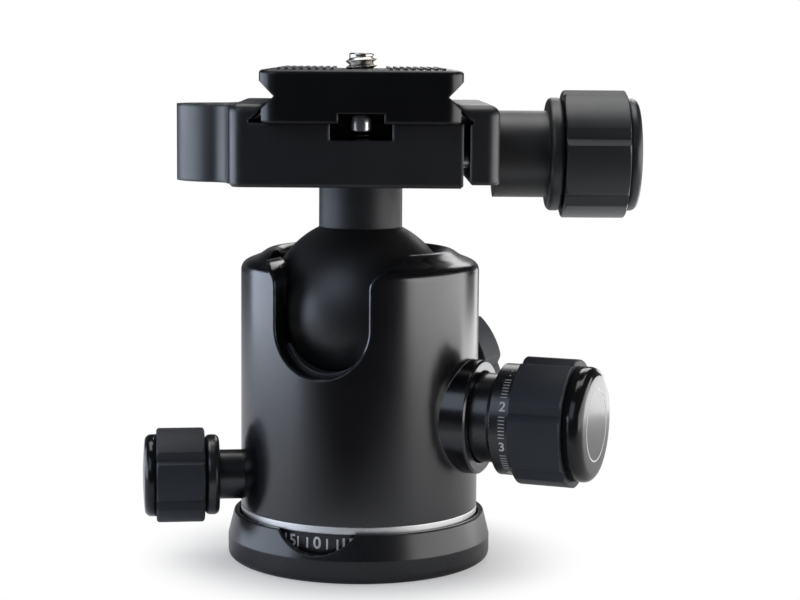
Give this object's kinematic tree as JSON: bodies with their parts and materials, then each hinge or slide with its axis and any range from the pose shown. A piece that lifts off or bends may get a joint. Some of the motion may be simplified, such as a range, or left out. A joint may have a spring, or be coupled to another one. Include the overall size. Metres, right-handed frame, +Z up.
{
  "type": "tripod ball head",
  "caption": "Ball head with a drop notch, locking, friction and panning knobs, a screw clamp with a level, and a ribbed quick-release plate.",
  "frame": {"origin": "mouth of the tripod socket, in the middle of the underside", "axes": "+Z up along the axis of the head, -Y towards the viewer of the picture, +X to the right, along the clamp's screw"},
  "size_m": [0.1013, 0.0848, 0.1036],
  "materials": {
    "satin_black": "satin black anodised aluminium",
    "stem_black": "satin anodised aluminium",
    "gloss_black": "gloss black",
    "ball_black": "polished, hard anodised black",
    "rubber": "matt rubber",
    "bright_aluminium": "bright turned",
    "steel": "turned",
    "dark_steel": "blackened",
    "brass": "turned",
    "bearing_plastic": "slippery bearing plastic",
    "clear_acrylic": "clear",
    "level_liquid": "liquid",
    "pad_rubber": "ribbed rubber"
  },
  "bodies": {
    "base": {"base_shell": "satin_black", "base_hub": "bright_aluminium", "tripod_bush": "steel", "hub_screws": "dark_steel", "retaining_ring": "bright_aluminium", "retaining_screws": "dark_steel", "lower_glide_washer": "bearing_plastic", "upper_glide_washer": "bearing_plastic"},
    "housing": {"ball_housing": "satin_black", "bright_end_ring": "bright_aluminium", "degree_ring": "satin_black", "upper_ball_seat": "bearing_plastic", "mechanism_plate": "bright_aluminium", "lock_thread_bush": "brass", "friction_thread_bush": "brass", "pan_thread_bush": "brass"},
    "cup": {"ball_cup": "bearing_plastic"},
    "lock_wedge": {"lock_wedge": "steel"},
    "lock_knob": {"lock_screw": "steel", "lock_knob_hub": "satin_black", "lock_knob_grip": "rubber", "lock_knob_cap": "gloss_black"},
    "friction_wedge": {"friction_wedge": "steel"},
    "friction_knob": {"friction_screw": "steel", "friction_dial": "satin_black", "friction_knob_grip": "rubber", "friction_knob_cap": "gloss_black"},
    "pan_shoe": {"pan_brake_shoe": "bearing_plastic"},
    "pan_knob": {"pan_screw": "steel", "pan_knob_hub": "satin_black", "pan_knob_grip": "rubber", "pan_knob_cap": "gloss_black"},
    "ball": {"ball": "ball_black"},
    "stem": {"stem": "stem_black"},
    "clamp": {"clamp_base": "satin_black", "clamp_bolt": "steel", "jaw_guide_pins": "steel", "jaw_springs": "steel", "level_vial": "clear_acrylic", "level_liquid": "level_liquid", "safety_pin_spring": "steel"},
    "jaw": {"clamp_jaw": "satin_black"},
    "clamp_knob": {"clamp_screw": "steel", "clamp_knob_hub": "satin_black", "clamp_knob_grip": "rubber", "clamp_knob_cap": "gloss_black"},
    "safety_pin": {"safety_pin": "steel", "safety_pin_clip": "dark_steel"},
    "plate": {"camera_plate": "satin_black", "grip_pads": "pad_rubber", "camera_screw_clip": "dark_steel"},
    "screw_washer": {"camera_screw_washer": "bearing_plastic"},
    "camera_screw": {"camera_screw": "steel"}
  },
  "joints": [
    {"name": "pan", "type": "hinge", "parent": "base", "child": "housing", "pos_m": [0, 0, 0], "axis": [0, 0, 1], "continuous": true},
    {"name": "side_tilt", "type": "hinge", "parent": "housing", "child": "ball", "pos_m": [0, 0, 0.05126], "axis": [0.342, 0.9397, 0], "range_deg": [-24, 24]},
    {"name": "drop_tilt", "type": "hinge", "parent": "ball", "child": "stem", "pos_m": [0, 0, 0.05126], "axis": [0.9397, -0.342, 0], "range_deg": [-15, 90]},
    {"name": "ball_turn", "type": "hinge", "parent": "stem", "child": "clamp", "pos_m": [0, 0, 0.05126], "axis": [0, 0, 1], "continuous": true},
    {"name": "cup_lift", "type": "slide", "parent": "housing", "child": "cup", "axis": [0, 0, 1], "range_m": [-0.0000005, 0.00025075]},
    {"name": "lock_wedge_slide", "type": "slide", "parent": "housing", "child": "lock_wedge", "axis": [-0.3907, -0.9205, 0], "range_m": [0, 0.0005]},
    {"name": "lock_turn", "type": "hinge", "parent": "lock_wedge", "child": "lock_knob", "pos_m": [0, 0, 0.034], "axis": [-0.3907, -0.9205, 0], "range_deg": [-0.01, 120.01]},
    {"name": "friction_wedge_slide", "type": "slide", "parent": "housing", "child": "friction_wedge", "axis": [-0.9272, 0.3746, 0], "range_m": [0, 0.0004]},
    {"name": "friction_turn", "type": "hinge", "parent": "friction_wedge", "child": "friction_knob", "pos_m": [0, 0, 0.0307], "axis": [-0.9272, 0.3746, 0], "range_deg": [-0.01, 180.01]},
    {"name": "pan_shoe_slide", "type": "slide", "parent": "housing", "child": "pan_shoe", "axis": [0.9945, 0.1045, 0], "range_m": [0, 0.00026667]},
    {"name": "pan_lock_turn", "type": "hinge", "parent": "pan_shoe", "child": "pan_knob", "pos_m": [0, 0, 0.01725], "axis": [0.9945, 0.1045, 0], "range_deg": [-0.01, 120.01]},
    {"name": "jaw_slide", "type": "slide", "parent": "clamp", "child": "jaw", "axis": [1, 0, 0], "range_m": [0, 0.003], "deforming": ["jaw_springs"]},
    {"name": "clamp_turn", "type": "hinge", "parent": "jaw", "child": "clamp_knob", "pos_m": [0, 0, 0.08335], "axis": [1, 0, 0], "range_deg": [-0.01, 1080.01]},
    {"name": "safety_pin_press", "type": "slide", "parent": "clamp", "child": "safety_pin", "axis": [0, 0, -1], "range_m": [0, 0.0017], "stiffness_N_per_m": 400, "springref_m": -0.002, "deforming": ["safety_pin_spring"]},
    {"name": "plate_slide", "type": "slide", "parent": "clamp", "child": "plate", "axis": [0, 1, 0], "range_m": [0, 0.064]},
    {"name": "camera_screw_lift", "type": "slide", "parent": "plate", "child": "screw_washer", "axis": [0, 0, 1], "range_m": [0, 0.0018]},
    {"name": "camera_screw_turn", "type": "hinge", "parent": "screw_washer", "child": "camera_screw", "pos_m": [0, 0, 0.10025], "axis": [0, 0, 1], "continuous": true}
  ],
  "couplings": [
    {"joint": "lock_turn", "follows": "lock_wedge_slide", "rad_per_m": 4188.8},
    {"joint": "cup_lift", "follows": "lock_wedge_slide", "ratio": 0.5},
    {"joint": "friction_turn", "follows": "friction_wedge_slide", "rad_per_m": 7854},
    {"joint": "pan_lock_turn", "follows": "pan_shoe_slide", "rad_per_m": 7854},
    {"joint": "clamp_turn", "follows": "jaw_slide", "rad_per_m": 6283.2}
  ]
}
